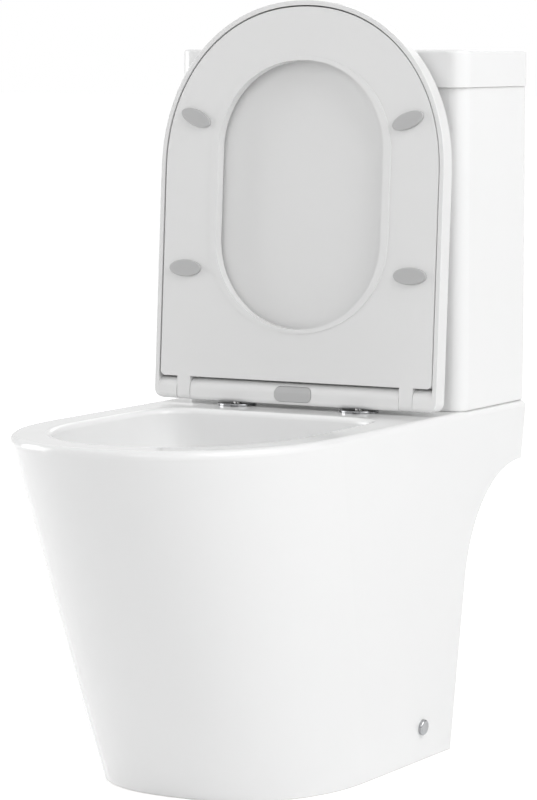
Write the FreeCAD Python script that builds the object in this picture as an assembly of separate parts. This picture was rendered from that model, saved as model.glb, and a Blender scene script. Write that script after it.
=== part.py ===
import FreeCAD, Part
import math
import os

# A close-coupled toilet in white vitreous china, standing with its seat and its cover raised.
# Lengths are in millimetres. X is across, Y runs back towards the wall, Z is up from the floor.
# The origin is on the floor, half way between the wall and the front tip of the rim.

# Pan: overall form
pan_width = 370.0
pan_depth = 675.0
rim_height = 400.0
rim_curve_length = 214.0
rim_roundness = 2.11
foot_taper = 35.0
foot_back_gap = 125.5
foot_reach = 506.0
foot_curve_length = 174.0
foot_roundness = 2.36
china_wall = 12.0
deck_thickness = 14.0
rim_edge_radius = 7.0
ledge_face_height = 70.0
ledge_sweep_height = 130.0
ledge_roundness = 2.15

# Pan: bowl. Each share row is height, half width, back, middle and front of one level of the bowl,
# and then how square its back is. Heights follow the rim height and the rest the opening's own sizes.
opening_back = 280.0
opening_rim = 43.0
opening_edge_radius = 6.0
flare_steps = 5
bowl_front_roundness = 2.1
bowl_level_shares = [
    (1.010, 1.000, 0.000, 0.514, 1.000, 8.0),
    (0.985, 1.000, 0.000, 0.514, 1.000, 8.0),
    (0.960, 1.000, 0.000, 0.514, 0.999, 8.0),
    (0.870, 0.990, 0.003, 0.508, 0.980, 7.0),
    (0.750, 0.940, 0.011, 0.483, 0.925, 5.0),
    (0.600, 0.790, 0.026, 0.426, 0.810, 3.6),
    (0.450, 0.580, 0.037, 0.341, 0.625, 2.8),
    (0.325, 0.395, 0.043, 0.241, 0.454, 2.3),
    (0.225, 0.282, 0.048, 0.185, 0.327, 2.1),
    (0.140, 0.205, 0.074, 0.171, 0.270, 2.0),
]
bowl_points = 48
bowl_wall = 11.0

# Pan: trap and outlet
trap_bore_radius = 28.0
trap_wall = 9.0
trap_dip_height = 74.0
trap_start = 345.0
trap_dip = 296.0
trap_rise = 232.0
trap_bend_radius = 36.0
outlet_radius = 51.0
outlet_bore_radius = 42.0
outlet_height = 185.0
outlet_end = 85.0
outlet_length = 110.0
outlet_grip_length = 50.0
outlet_neck_relief = 1.5

# Pan: flush duct under the deck
duct_half_width = 50.0
duct_wall = 10.0
duct_roof_drop = 34.0
duct_height = 42.0
duct_back = 40.0
slot_half_width = 46.0
slot_height = 22.0
recess_radius = 53.0
recess_depth = 22.0
recess_wall = 12.0
flush_hole_radius = 37.0

# Cistern
cistern_inset = 0.5
cistern_depth = 171.0
cistern_height = 368.0
cistern_wall = 9.0
cistern_floor = 12.0
cistern_front_radius = 18.0
cistern_back_radius = 10.0
cistern_inner_radius = 9.0
cistern_edge_radius = 3.0
cistern_axis = 88.0
wall_hole_radius = 5.0
wall_hole_spacing = 140.0
wall_hole_drop = 48.0

# Cistern lid
lid_side_overhang = 2.0
lid_front_overhang = 5.0
lid_height = 42.0
lid_top_thickness = 10.0
lid_front_radius = 20.0
lid_back_radius = 12.0
lid_edge_radius = 3.5
lid_lip_drop = 8.0
lid_lip_wall = 5.0
lid_lip_clearance = 1.5
lid_hole_radius = 21.0

# Clearances
moving_gap = 0.3
running_gap = 0.05
slip_gap = 0.4
overrun = 2.0
smallest_edge = 0.01
tip_steps = 12

# Dual flush button
bezel_radius = 27.0
bezel_height = 4.0
bezel_edge_radius = 1.5
housing_bore_radius = 19.0
housing_wall = 1.6
housing_length = 46.0
housing_floor = 3.0
ring_nut_radius = 27.0
ring_nut_height = 8.0
ring_nut_grips = 8
ring_nut_grip_radius = 2.5
button_height = 7.0
button_proud = 0.6
button_split_offset = 3.0
button_split_gap = 1.0
button_crown = 1.2
button_stem_radius = 4.0
button_stem_length = 16.0
button_skirt_wall = 2.0
full_rod_place = 9.0
half_rod_place = -11.0
rod_radius = 2.5
spring_wire_radius = 0.5
spring_coil_radius = 4.8
spring_turns = 5

# Flush valve
tail_radius = 30.0
tail_bore_radius = 25.0
tail_length = 20.0
valve_flange_radius = 45.0
valve_flange_thickness = 4.0
valve_gasket_thickness = 2.0
backnut_radius = 43.0
backnut_height = 12.0
valve_drum_radius = 32.0
valve_drum_height = 22.0
valve_seat_width = 3.0
valve_seat_height = 3.0
seal_disc_radius = 28.6
seal_disc_thickness = 4.0
stem_radius = 5.0
stem_tip_drop = 8.0
stem_collar_radius = 8.0
stem_flange_radius = 20.0
stem_flange_thickness = 3.0
stem_float_radius = 22.0
stem_float_height = 60.0
stem_float_rise = 14.0
tower_wall = 2.5
tower_drop = 128.0
tower_window_width = 30.0
tower_window_height = 56.0
tower_window_rise = 30.0
tower_slot_rise = 110.0
tower_slot_height = 70.0
tower_cap_thickness = 4.0
overflow_place = -50.0
overflow_radius = 13.0
overflow_wall = 1.5
overflow_drop = 113.0
overflow_boss_wall = 3.0
overflow_passage_radius = 6.0
overflow_passage_rise = 7.0
overflow_socket_depth = 8.0
lever_pivot_place = 27.0
lever_input_arm = 18.0
lever_output_arm = 27.0
lever_width = 8.0
lever_thickness = 4.0
lever_hub_radius = 4.0
lever_axis_rise = 14.0
lever_pin_radius = 1.5
lever_contact_gap = 0.5
lever_ear_thickness = 3.0
lever_ear_width = 9.0
lever_pad_radius = 3.0
lever_pad_rise = 3.0
lever_tip_margin = 3.0
crossbar_thickness = 4.0
crossbar_width = 18.0
crossbar_slot_width = 7.0
crossbar_hub_radius = 7.5
crossbar_end_margin = 5.0
plunger_radius = 3.0
plunger_head_radius = 4.5
plunger_head_height = 3.0
plunger_drop = 12.0

# Doughnut seal between cistern and pan
doughnut_radius = 52.0
doughnut_shelf = 8.0
doughnut_bore_radius = 44.5

# Cistern bolts
cistern_bolt_place = 82.0
cistern_bolt_radius = 4.0
cistern_bolt_hole_radius = 5.5
cistern_bolt_length = 62.0
cistern_bolt_head_radius = 7.5
cistern_bolt_head_height = 5.0
bolt_slot_width = 1.6
bolt_slot_depth = 2.0
cistern_cone_radius = 13.0
cistern_cone_height = 4.0
plate_washer_radius = 13.0
plate_washer_thickness = 2.0

# Wing nuts
nut_height = 8.0
nut_radius = 7.0
nut_wing_reach = 14.0
nut_wing_width = 3.0
nut_wing_height = 12.0
nut_wing_drop = 2.0

# Fill valve
fill_from_side = 59.5
fill_tail_radius = 10.4
fill_tail_bore_radius = 7.0
fill_tail_length = 50.0
fill_inlet_length = 36.0
fill_shank_radius = 11.0
fill_washer_radius = 17.0
fill_washer_thickness = 2.0
fill_flange_thickness = 4.0
fill_nut_radius = 16.0
fill_nut_height = 10.0
fill_hole_radius = 11.5
fill_deck_hole_radius = 20.0
fill_column_radius = 12.0
fill_head_drop = 118.0
fill_head_radius = 20.0
fill_head_length = 26.0
fill_cap_radius = 21.0
fill_cap_height = 12.0
fill_cap_ribs = 12
fill_cap_rib_radius = 1.2
float_radius = 34.0
float_bore_radius = 12.3
float_height = 62.0
float_wall = 3.0
float_drop = 130.0
float_rod_place = -30.0
float_rod_radius = 1.5
float_travel = 14.0
arm_pivot_place = 20.0
arm_rise = 11.0
arm_width = 8.0
arm_thickness = 4.0
arm_overhang = 5.0
arm_slot_radius = 2.3
arm_slot_length = 6.6
arm_pin_radius = 1.5
arm_ear_thickness = 2.5
arm_ear_radius = 4.0
arm_hub_wall = 1.6
float_collar_radius = 3.5
float_collar_height = 2.0
float_collar_gap = 2.85

# Seat hinge: everything on the seat is laid out closed, and then turned up to its raised place
hinge_from_wall = 222.0
hinge_rise = 17.0
raised_angle = 93.7
face_drop = 13.0
cover_inset = 0.5
cover_reach = 450.0
cover_curve_length = 194.5
cover_roundness = 2.1
cover_height = 24.5
cover_wall = 5.5
cover_top_thickness = 4.0
cover_edge_radius = 6.0
cover_rim_radius = 1.0
cover_back_edge = 13.6
lug_front = 12.6
lug_back = 12.4
lug_rise = 11.0
lug_low_radius = 6.0
lug_high_radius = 9.0
lug_corner_radius = 11.0
seat_inset = 7.0
seat_back_edge = 13.8
seat_link_reach = 20.0
seat_corner_radius = 6.5
seat_thickness = 16.5
seat_face_gap = 0.4
seat_edge_radius = 5.0
seat_under_radius = 1.2
seat_ring_width = 77.0
seat_opening_middle = 228.0
seat_opening_straight = 50.0
seat_opening_curve = 104.0
seat_opening_roundness = 2.05
seat_opening_radius = 6.0
seat_lip_width = 9.3
seat_lip_end_width = 5.0
seat_lip_depth = 1.0
seat_lug_from_side = 30.5
seat_lug_length = 17.0
lug_gap = 0.5

# Seat and cover pads
front_pad_from_side = 46.5
front_pad_reach = 314.5
front_pad_length = 40.6
front_pad_width = 18.6
front_pad_turn = 21.0
back_pad_from_side = 37.8
back_pad_reach = 140.0
back_pad_length = 41.6
back_pad_width = 19.4
pad_edge_radius = 1.2
pad_rim_gap = 0.3
cover_pad_radius = 7.0
cover_pad_gap = 0.4
cover_pad_reach_front = 395.0
cover_pad_place_front = 60.0
cover_pad_reach_back = 60.0
cover_pad_from_side = 34.5

# Hinge bar, soft-close dampers, pins and posts
bar_reach = 12.4
bar_edge_radius = 5.0
bar_front_radius = 12.3
damper_radius = 7.6
damper_length = 44.5
damper_pin_grip = 18.0
pin_radius = 4.0
pin_end_margin = 9.0
post_place = 80.0
post_radius = 5.0
post_head_radius = 6.0
post_head_height = 5.0
post_rise = 13.0
stud_length = 58.0
post_socket_radius = 6.4
rosette_radius = 22.5
rosette_height = 3.2
rosette_edge_radius = 1.4
seat_bolt_radius = 4.0
seat_bolt_hole_radius = 7.0
seat_cone_height = 12.0
seat_cone_radius = 13.0
seat_cone_small_radius = 9.0
release_half_length = 24.0
release_height = 17.0
release_corner_radius = 7.0
release_pocket_depth = 10.0
release_thickness = 5.2
release_stem_radius = 2.6
release_stem_length = 8.0
release_hole_depth = 6.0
release_coil_radius = 4.0
release_wire_radius = 0.4
release_turns = 3
release_proud = 0.3

# Floor brackets behind the foot, with the screws and caps in the pan's sides
fixing_from_wall = 205.0
fixing_height = 40.0
fixing_hole_radius = 4.5
bracket_thickness = 3.0
bracket_length = 50.0
bracket_foot_width = 42.0
bracket_height = 56.0
bracket_face_gap = 0.5
floor_hole_radius = 4.0
side_screw_radius = 3.0
side_screw_length = 24.0
side_screw_head_radius = 5.0
side_screw_head_height = 2.2
cap_base_height = 3.6
cap_base_wall = 1.0
cap_base_floor = 1.2
cap_radius = 9.2
cap_height = 4.6
cap_wall = 0.8
cap_dome_radius = 2.4


def from_wall(distance):
    return pan_depth / 2 - distance


def vec(x, y, z):
    return FreeCAD.Vector(x, y, z)


def box(x0, x1, y0, y1, z0, z1):
    return Part.makeBox(x1 - x0, y1 - y0, z1 - z0, vec(x0, y0, z0))


def rod(radius, x, y, z0, z1):
    return Part.makeCylinder(radius, z1 - z0, vec(x, y, z0))


def tube(outer, inner, x, y, z0, z1):
    return rod(outer, x, y, z0, z1).cut(rod(inner, x, y, z0 - overrun, z1 + overrun))


def cone(low, high, x, y, z0, z1):
    return Part.makeCone(low, high, z1 - z0, vec(x, y, z0))


def rod_along_x(radius, x0, x1, y, z):
    return Part.makeCylinder(radius, x1 - x0, vec(x0, y, z), vec(1, 0, 0))


def rod_along_y(radius, x, y0, y1, z):
    return Part.makeCylinder(radius, y1 - y0, vec(x, y0, z), vec(0, 1, 0))


def line(a, b):
    return Part.LineSegment(a, b).toShape()


def polygon(points):
    edges = []
    for here, there in zip(points, points[1:] + points[:1]):
        edges.append(line(here, there))
    return Part.Wire(edges)


def hexagon(radius, x, y, z0, z1):
    corners = []
    for k in range(6):
        turn = math.radians(60 * k)
        corners.append(vec(x + radius * math.cos(turn), y + radius * math.sin(turn), z0))
    return Part.Face(polygon(corners)).extrude(vec(0, 0, z1 - z0))


def superellipse(half_width, length, power, steps):
    """Points from the right-hand side round the tip to the left, as sideways and forward distances."""
    points = []
    for k in range(steps + 1):
        turn = math.pi * k / steps
        across = math.copysign(abs(math.cos(turn)) ** (2 / power), math.cos(turn))
        ahead = abs(math.sin(turn)) ** (2 / power)
        points.append((half_width * across, length * ahead))
    return points


def tongue(half_width, y_back, y_turn, length, power, z, corner=0):
    """Closed outline: straight back and sides, and a rounded front that starts at y_turn."""
    front = []
    for across, along in superellipse(half_width, length, power, tip_steps):
        front.append(vec(across, y_turn - along, z))
    curve = Part.BSplineCurve()
    curve.interpolate(Points=front, InitialTangent=vec(0, -1, 0), FinalTangent=vec(0, 1, 0), Scale=False)
    right = vec(half_width, y_back, z)
    left = vec(-half_width, y_back, z)
    if corner == 0:
        return Part.Wire([line(left, right), line(right, front[0]), curve.toShape(), line(front[-1], left)])
    right_first, right_arc, right_last = corner_arc(left, right, front[0], corner)
    left_first, left_arc, left_last = corner_arc(front[-1], left, right, corner)
    return Part.Wire([line(left_last, right_first), right_arc, line(right_last, front[0]),
                      curve.toShape(), line(front[-1], left_first), left_arc])


def corner_arc(before, corner, after, radius):
    """Where the arc that rounds one corner starts, the arc itself, and where it ends."""
    inward = (before - corner).normalize()
    outward = (after - corner).normalize()
    half = math.acos(inward.dot(outward)) / 2
    first = corner + inward * (radius / math.tan(half))
    last = corner + outward * (radius / math.tan(half))
    centre = corner + (inward + outward).normalize() * (radius / math.sin(half))
    middle = centre + (corner - centre).normalize() * radius
    return first, Part.Arc(first, middle, last).toShape(), last


def rounded_outline(corners, radii):
    """Closed outline through the corners, each rounded by its own radius, or left sharp by a radius of 0."""
    rounds = []
    for k, radius in enumerate(radii):
        if radius > 0:
            after = corners[(k + 1) % len(corners)]
            rounds.append(corner_arc(corners[k - 1], corners[k], after, radius))
        else:
            rounds.append((corners[k], None, corners[k]))
    edges = []
    for k, (first, arc, last) in enumerate(rounds):
        before = rounds[k - 1][2]
        if (first - before).Length > smallest_edge:
            edges.append(line(before, first))
        if arc:
            edges.append(arc)
    return Part.Wire(edges)


def slab(half_width, y_front, y_back, front_radius, back_radius, z0, z1):
    """Upright block with rounded standing corners."""
    corners = [
        vec(-half_width, y_front, z0),
        vec(half_width, y_front, z0),
        vec(half_width, y_back, z0),
        vec(-half_width, y_back, z0),
    ]
    outline = rounded_outline(corners, [front_radius, front_radius, back_radius, back_radius])
    return Part.Face(outline).extrude(vec(0, 0, z1 - z0))


def side_section(corners, radii, x0, x1):
    """Bar along X whose section is given as places behind the hinge and heights above it."""
    points = []
    for back, up in corners:
        points.append(vec(x0, hinge_y + back, hinge_z + up))
    return Part.Face(rounded_outline(points, radii)).extrude(vec(x1 - x0, 0, 0))


def edges_at_height(shape, z):
    """The edges that lie flat at one height."""
    found = []
    for edge in shape.Edges:
        if abs(edge.BoundBox.ZMin - z) < overrun / 100 and abs(edge.BoundBox.ZMax - z) < overrun / 100:
            found.append(edge)
    return found


def fuse(first, *others):
    return first.fuse(list(others)).removeSplitter()


def pair(make):
    """The same piece on the left and on the right, as a group of two solids."""
    return Part.makeCompound([make(-1), make(1)])


def raise_up(shape):
    """Turn a piece that was laid out closed up to its raised place, about the hinge."""
    raised = shape.copy()
    raised.rotate(vec(0, hinge_y, hinge_z), vec(1, 0, 0), -raised_angle)
    return raised


foot_width = pan_width - 2 * foot_taper
opening_half_width = pan_width / 2 - opening_rim
opening_front = pan_depth - opening_rim
rim_turn = pan_depth - rim_curve_length
foot_turn = foot_reach - foot_curve_length
deck_underside = rim_height - deck_thickness
cistern_width = pan_width - 2 * cistern_inset
cistern_top = rim_height + cistern_height
tank_floor = rim_height + cistern_floor
wall_hole_height = cistern_top - wall_hole_drop
lid_width = cistern_width + 2 * lid_side_overhang
lid_depth = cistern_depth + lid_front_overhang
lid_base = cistern_top + moving_gap
lid_top = lid_base + lid_height
lid_underside = lid_top - lid_top_thickness
recess_floor = rim_height - recess_depth
axis_y = from_wall(cistern_axis)
hinge_y = from_wall(hinge_from_wall)
hinge_z = rim_height + hinge_rise
bezel_top = lid_top + bezel_height
housing_base = lid_top - housing_length
housing_floor_top = housing_base + housing_floor
button_top = bezel_top + button_proud
button_underside = button_top - button_skirt_wall
stem_base = button_underside - button_stem_length
rod_top = button_underside - button_skirt_wall
flange_base = tank_floor + valve_gasket_thickness
flange_top = flange_base + valve_flange_thickness
drum_top = flange_top + valve_drum_height
valve_seat_top = drum_top + valve_seat_height
pipe_base = drum_top - overflow_socket_depth
disc_base = valve_seat_top + moving_gap
disc_top = disc_base + seal_disc_thickness
stem_float_base = disc_top + stem_flange_thickness + stem_float_rise
tower_top = cistern_top - tower_drop
overflow_top = cistern_top - overflow_drop
cap_top = tower_top + tower_cap_thickness
lever_z = cap_top + lever_axis_rise
lever_top = lever_z + lever_thickness / 2
lever_half_gap = lever_width / 2 + moving_gap
crossbar_base = lever_z + lever_pad_rise + lever_pad_radius + lever_contact_gap
fill_place = fill_from_side - cistern_width / 2
fill_flange_base = tank_floor + fill_washer_thickness
fill_head_height = cistern_top - fill_head_drop
fill_cap_base = fill_head_height + fill_head_length
float_bottom = fill_head_height - float_drop
arm_x = fill_place + arm_pivot_place
arm_z = fill_cap_base + fill_cap_height + arm_rise
arm_half_gap = arm_width / 2 + moving_gap
float_rod_x = fill_place + float_rod_place
cover_width = pan_width - 2 * cover_inset
seat_opening_half_width = cover_width / 2 - seat_ring_width
seat_lug_outer = cover_width / 2 - seat_lug_from_side
seat_lug_inner = seat_lug_outer - seat_lug_length
front_pad_place = cover_width / 2 - front_pad_from_side
back_pad_place = cover_width / 2 - back_pad_from_side
cover_pad_place_back = cover_width / 2 - cover_pad_from_side
bar_half_length = seat_lug_inner - lug_gap
damper_start = bar_half_length - damper_length
bar_front = hinge_y - bar_reach
pocket_floor = bar_front + release_pocket_depth
pin_start = bar_half_length - damper_pin_grip
pin_end = cover_width / 2 - pin_end_margin
cover_base = hinge_z - face_drop
cover_top = cover_base + cover_height
cover_turn_y = hinge_y - cover_reach + cover_curve_length
seat_base = cover_base + seat_face_gap
seat_top = seat_base + seat_thickness
pad_height = seat_base - rim_height - pad_rim_gap
bracket_face = foot_width / 2 - china_wall - bracket_face_gap


def rim_growth(lean):
    """What the rounded rim edge would take off a side that leans out this far from floor to rim."""
    slope = lean / rim_height
    return rim_edge_radius * (slope + math.sqrt(1 + slope * slope) - 1)


rim_half = pan_width / 2 + rim_growth((pan_width - foot_width) / 2)
side_slope = (rim_half - foot_width / 2) / rim_height


def pan_outer():
    """The outer form: ruled sides from the rim's outline down to the smaller foot."""
    rim = tongue(rim_half, from_wall(0), from_wall(rim_turn),
                 rim_curve_length + rim_growth(pan_depth - foot_reach), rim_roundness, rim_height)
    foot = tongue(foot_width / 2, from_wall(0), from_wall(foot_turn), foot_curve_length, foot_roundness, 0)
    return Part.makeLoft([foot, rim], True, True)


def pan_hollow():
    """The space inside the skirt, open at the floor."""
    share = deck_thickness / rim_height
    top_half = pan_width / 2 - (pan_width - foot_width) / 2 * share - china_wall
    top_front = rim_curve_length - (rim_curve_length - foot_curve_length) * share - china_wall
    top_turn = rim_turn - (rim_turn - foot_turn) * share
    top = tongue(top_half, from_wall(china_wall), from_wall(top_turn), top_front, rim_roundness, deck_underside)
    low_half = foot_width / 2 - china_wall
    low_front = foot_curve_length - china_wall
    low = tongue(low_half, from_wall(china_wall), from_wall(foot_turn), low_front, foot_roundness, 0)
    below = low.copy()
    below.translate(vec(0, 0, -overrun))
    skirt_space = Part.makeLoft([low, top], True, True)
    return skirt_space.fuse(Part.makeLoft([below, low], True, True))


def ledge_cutter():
    """What the pan leaves free behind its foot: upright low down, sweeping back under the ledge."""
    top = rim_height - ledge_face_height
    turn_z = top - ledge_sweep_height
    sweep = []
    for k in range(13):
        turn = math.pi / 2 * k / 12
        reach = foot_back_gap * math.cos(turn) ** (2 / ledge_roundness)
        rise = ledge_sweep_height * math.sin(turn) ** (2 / ledge_roundness)
        sweep.append(vec(-pan_width, from_wall(reach), turn_z + rise))
    curve = Part.BSplineCurve()
    curve.interpolate(Points=sweep, InitialTangent=vec(0, 0, 1), FinalTangent=vec(0, 1, 0), Scale=False)
    behind = from_wall(-overrun)
    top_back = vec(-pan_width, behind, top)
    low_back = vec(-pan_width, behind, -overrun)
    low_front = vec(-pan_width, from_wall(foot_back_gap), -overrun)
    edges = [
        curve.toShape(),
        line(sweep[-1], top_back),
        line(top_back, low_back),
        line(low_back, low_front),
        line(low_front, sweep[0]),
    ]
    return Part.Face(Part.Wire(edges)).extrude(vec(2 * pan_width, 0, 0))


def bowl_level(level, grow):
    """One level outline of the bowl, grown outwards by the china when it is the bowl's outside."""
    height, width, back, middle, front, squareness = level
    length = opening_front - opening_back
    half = opening_half_width * width + grow
    y_middle = from_wall(opening_back + length * middle)
    back_reach = length * (middle - back) + grow
    front_reach = length * (front - middle) + grow
    points = []
    for k in range(bowl_points):
        turn = 2 * math.pi * k / bowl_points
        across = math.cos(turn)
        along = math.sin(turn)
        power = squareness if along > 0 else bowl_front_roundness
        size = (abs(across) ** power + abs(along) ** power) ** (-1 / power)
        reach = back_reach if along > 0 else front_reach
        points.append(vec(half * size * across, y_middle + reach * size * along, rim_height * height))
    curve = Part.BSplineCurve()
    curve.interpolate(Points=points, PeriodicFlag=True)
    return Part.Wire([curve.toShape()])


def bowl_form(grow, drop):
    """The bowl's space, or its outside when it is grown and dropped by the china's thickness."""
    levels = []
    for level in bowl_level_shares:
        outline = bowl_level(level, grow)
        outline.translate(vec(0, 0, -drop))
        levels.append(outline)
    return Part.makeLoft(levels, True, False)


def opening_flare():
    """What rounds the upper edge of the bowl's opening."""
    levels = []
    top_share = bowl_level_shares[0][0]
    for k in range(flare_steps + 1):
        turn = math.pi / 2 * k / flare_steps
        outline = bowl_level(bowl_level_shares[0], opening_edge_radius * (1 - math.cos(turn)))
        drop = rim_height * (top_share - 1) + opening_edge_radius * (1 - math.sin(turn))
        outline.translate(vec(0, 0, -drop))
        levels.append(outline)
    return Part.makeLoft(levels, True, False)


def trap_tube(radius, past_start, past_end):
    """A tube along the trap's path: back from the sump, up over the weir and out to the spigot."""
    start = vec(0, from_wall(trap_start + past_start), trap_dip_height)
    dip = vec(0, from_wall(trap_dip), trap_dip_height)
    weir = vec(0, from_wall(trap_rise), outlet_height)
    end = vec(0, from_wall(outlet_end + outlet_length - past_end), outlet_height)
    path = rounded_path([start, dip, weir, end], trap_bend_radius)
    profile = Part.Wire([Part.Circle(start, vec(0, 1, 0), radius).toShape()])
    return path.makePipeShell([profile], True, False)


def rounded_path(points, radius):
    """Straight runs joined by arcs that touch them."""
    edges = []
    here = points[0]
    for before, corner, after in zip(points, points[1:], points[2:]):
        first, arc, last = corner_arc(before, corner, after, radius)
        edges.append(line(here, first))
        edges.append(arc)
        here = last
    edges.append(line(here, points[-1]))
    return Part.Wire(edges)


def make_pan():
    """The pan: one hollow china casting with its bowl, trap, outlet spigot and flush duct."""
    shell = pan_outer().cut(ledge_cutter())
    shell = shell.makeFillet(rim_edge_radius, edges_at_height(shell, rim_height))
    shell = shell.cut(pan_hollow())

    duct_roof = rim_height - duct_roof_drop
    duct_floor = duct_roof - duct_height
    duct_front = opening_back + bowl_wall / 2
    outer_half = duct_half_width + duct_wall
    duct = box(-outer_half, outer_half, from_wall(duct_front), from_wall(duct_back - duct_wall),
               duct_floor - duct_wall, deck_underside)
    recess_boss = rod(recess_radius + recess_wall, 0, axis_y, duct_roof, deck_underside)
    neck = rod_along_y(outlet_radius - outlet_neck_relief, 0, from_wall(outlet_end + outlet_length),
                       from_wall(outlet_end), outlet_height)
    spigot = rod_along_y(outlet_radius, 0, from_wall(outlet_end + outlet_grip_length),
                         from_wall(outlet_end), outlet_height)
    pan = fuse(shell, bowl_form(bowl_wall, bowl_wall).common(pan_outer()), duct, recess_boss,
               trap_tube(trap_bore_radius + trap_wall, 0, 0), neck, spigot)

    duct_space = box(-duct_half_width, duct_half_width, from_wall(opening_back - bowl_wall),
                     from_wall(duct_back), duct_floor, duct_roof)
    slot_top = duct_floor + slot_height
    slot = box(-slot_half_width, slot_half_width, from_wall(opening_back + 2 * bowl_wall),
               from_wall(opening_back - 2 * bowl_wall), duct_floor, slot_top)
    spaces = [
        bowl_form(0, 0),
        opening_flare(),
        trap_tube(trap_bore_radius, 0, trap_wall),
        rod_along_y(outlet_bore_radius, 0, from_wall(outlet_end + outlet_length - trap_wall),
                    from_wall(outlet_end - overrun), outlet_height),
        duct_space,
        slot,
        rod(recess_radius, 0, axis_y, recess_floor, rim_height + overrun),
        rod(flush_hole_radius, 0, axis_y, duct_roof - overrun, recess_floor + overrun),
        rod(fill_deck_hole_radius, fill_place, axis_y, deck_underside - overrun, rim_height + overrun),
    ]
    for side in (-1, 1):
        spaces.append(rod(cistern_bolt_hole_radius, side * cistern_bolt_place, axis_y,
                          deck_underside - overrun, rim_height + overrun))
        spaces.append(rod(seat_bolt_hole_radius, side * post_place, hinge_y,
                          deck_underside - overrun, rim_height + overrun))
        spaces.append(rod_along_x(fixing_hole_radius, min(side * foot_width, 0), max(side * foot_width, 0),
                                  from_wall(fixing_from_wall), fixing_height))
    return pan.cut(spaces)


def ahead(reach):
    """Where a place on the closed seat lies, this far in front of the hinge."""
    return hinge_y - reach


def flat_ring(outer, inner, places, z0, z1):
    """A washer, or a group of equal ones, round upright pieces on the cistern's middle line."""
    rings = []
    for x in places:
        rings.append(tube(outer, inner, x, axis_y, z0, z1))
    return rings[0] if len(rings) == 1 else Part.makeCompound(rings)


def hex_nut(radius, bore, x, z0, z1):
    return hexagon(radius, x, axis_y, z0, z1).cut(rod(bore, x, axis_y, z0 - overrun, z1 + overrun))


def wing_nut(x, y, top, bore):
    """A round nut with two wings that hang below its clamping face."""
    hub = rod(nut_radius, x, y, top - nut_height, top)
    wings = box(x - nut_wing_reach, x + nut_wing_reach, y - nut_wing_width / 2, y + nut_wing_width / 2,
                top - nut_wing_height, top - nut_wing_drop)
    return fuse(hub, wings).cut(rod(bore, x, y, top - nut_wing_height - overrun, top + overrun))


def helix_point(coil_radius, rise_per_turn, turn):
    """Where a helix about the Z axis is after this many turns, and which way it runs there."""
    angle = 2 * math.pi * turn
    point = vec(coil_radius * math.cos(angle), coil_radius * math.sin(angle), rise_per_turn * turn)
    climb = rise_per_turn / (2 * math.pi)
    way = vec(-coil_radius * math.sin(angle), coil_radius * math.cos(angle), climb)
    return point, way.normalize()


def arc_on_corner(start, corner, end):
    """Round arc from start to end that touches the two equal lines to the corner."""
    weight = (end - start).Length / 2 / (corner - start).Length
    middle = (start + corner * (2 * weight) + end) * (1 / (2 + 2 * weight))
    return Part.Arc(start, middle, end).toShape()


def tangent_arcs(start, first_way, end, last_way):
    """Two arcs that meet smoothly and leave both ends in the ways given."""
    span = end - start
    along = span.dot(first_way + last_way)
    bend = 2 * (1 - first_way.dot(last_way))
    reach = (math.sqrt(along * along + bend * span.Length * span.Length) - along) / bend
    first_corner = start + first_way * reach
    last_corner = end - last_way * reach
    meeting = (first_corner + last_corner) * 0.5
    return [arc_on_corner(start, first_corner, meeting), arc_on_corner(meeting, last_corner, end)]


def coil(coil_radius, wire_radius, turns, length):
    """Round-wire compression spring standing on the origin, swept along tangent arcs."""
    rise_per_turn = (length - 2 * wire_radius) / turns
    arcs = []
    for quarter in range(4 * turns):
        start, first_way = helix_point(coil_radius, rise_per_turn, quarter / 4)
        end, last_way = helix_point(coil_radius, rise_per_turn, (quarter + 1) / 4)
        arcs.extend(tangent_arcs(start, first_way, end, last_way))
    start, first_way = helix_point(coil_radius, rise_per_turn, 0)
    circle = Part.Circle(start, first_way, wire_radius)
    spring = Part.Wire(arcs).makePipeShell([Part.Wire([circle.toShape()])], True, False)
    spring.translate(vec(0, 0, wire_radius))
    return spring


def tank_slab(inset, radius, z0, z1):
    """Block that follows the cistern's inner walls, this far in from them."""
    margin = cistern_wall + inset
    return slab(cistern_width / 2 - margin, from_wall(cistern_depth - margin), from_wall(margin),
                radius, radius, z0, z1)


def make_cistern_body():
    body = slab(cistern_width / 2, from_wall(cistern_depth), from_wall(0), cistern_front_radius,
                cistern_back_radius, rim_height, cistern_top)
    body = body.makeFillet(cistern_edge_radius, edges_at_height(body, rim_height))
    low = rim_height - overrun
    high = tank_floor + overrun
    spaces = [
        tank_slab(0, cistern_inner_radius, tank_floor, cistern_top + overrun),
        rod(tail_radius + slip_gap, 0, axis_y, low, high),
        rod(fill_hole_radius, fill_place, axis_y, low, high),
    ]
    for side in (-1, 1):
        spaces.append(rod(cistern_bolt_hole_radius, side * cistern_bolt_place, axis_y, low, high))
        spaces.append(rod_along_y(wall_hole_radius, side * wall_hole_spacing / 2,
                                  from_wall(cistern_wall + overrun), from_wall(-overrun), wall_hole_height))
    return body.cut(spaces)


def make_cistern_lid():
    lid = slab(lid_width / 2, from_wall(lid_depth), from_wall(0), lid_front_radius, lid_back_radius,
               lid_base, lid_top)
    lid = lid.makeFillet(lid_edge_radius, edges_at_height(lid, lid_top))
    lip_base = lid_base - lid_lip_drop
    lip = tank_slab(lid_lip_clearance, cistern_inner_radius - lid_lip_clearance, lip_base, lid_base)
    inset = lid_lip_clearance + lid_lip_wall
    cavity = tank_slab(inset, cistern_inner_radius - inset, lip_base - overrun, lid_underside)
    hole = rod(lid_hole_radius, 0, axis_y, lid_underside - overrun, lid_top + overrun)
    return fuse(lid, lip).cut([cavity, hole])


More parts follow.
